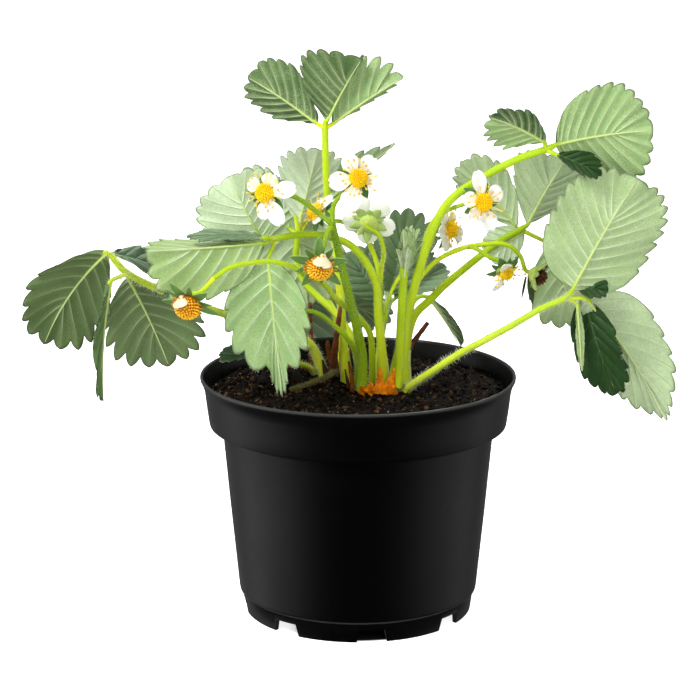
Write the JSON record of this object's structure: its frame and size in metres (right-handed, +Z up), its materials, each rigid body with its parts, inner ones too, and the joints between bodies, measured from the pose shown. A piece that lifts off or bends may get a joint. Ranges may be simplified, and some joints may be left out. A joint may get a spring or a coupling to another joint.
{
  "type": "potted strawberry plant",
  "caption": "Strawberry plant in flower in a round black plastic pot, with toothed compound leaves on long stalks, white blooms with yellow hearts, young fruits and peat soil.",
  "frame": {"origin": "centre of the bounding box's base; within about 1 mm it is also the pot's axis at the level of its foot", "axes": "+Z up along the pot's axis, +X to the right across the spread of the leaves, -Y towards the front of the plant"},
  "size_m": [0.2643, 0.148, 0.2364],
  "materials": {
    "pot": "fine matte moulded plastic",
    "soil": "rough, crumbly peat",
    "leaf": "pleated, softly matte, pale underside",
    "dark_leaf": "pleated, softly matte, dark face",
    "stalk": "fresh, hairy, satin",
    "crown": "rough, matte",
    "scale": "dry, papery",
    "dry": "dry, fibrous, matte",
    "petal": "thin, silky",
    "heart": "knobbly, matte",
    "ripening_heart": "knobbly, matte",
    "withered_heart": "dry, matte"
  },
  "bodies": {
    "root": {"pot": "pot", "soil": "soil", "crown": "crown", "crown_scales": "scale", "side_crown": "dry", "old_stub": "dry", "leaf_far_left": "dark_leaf", "leaf_left": "leaf", "leaf_top": "leaf", "leaf_back_left": "leaf", "leaf_back": "dark_leaf", "leaf_right_high": "leaf", "leaf_right_middle": "leaf", "leaf_right_low": "leaf", "leaf_behind_pot": "leaf", "leaf_at_rim": "dark_leaf", "leaf_folded": "dark_leaf", "young_leaf": "leaf", "truss_left": "stalk", "truss_far_left": "stalk", "truss_middle": "stalk", "truss_right": "stalk", "bud_stalk": "stalk", "bloom_1_petals": "petal", "bloom_1_heart": "heart", "bloom_2_petals": "petal", "bloom_2_heart": "heart", "bloom_3_petals": "petal", "bloom_3_heart": "heart", "bloom_4_petals": "petal", "bloom_4_heart": "heart", "bloom_5_petals": "petal", "bloom_5_heart": "heart", "bloom_6_petals": "petal", "bloom_6_heart": "heart", "bloom_7_petals": "petal", "bloom_7_heart": "heart", "berry_1_petals": "petal", "berry_1_heart": "ripening_heart", "berry_2_petals": "petal", "berry_2_heart": "ripening_heart", "withered_bloom_heart": "withered_heart"}
  },
  "joints": []
}
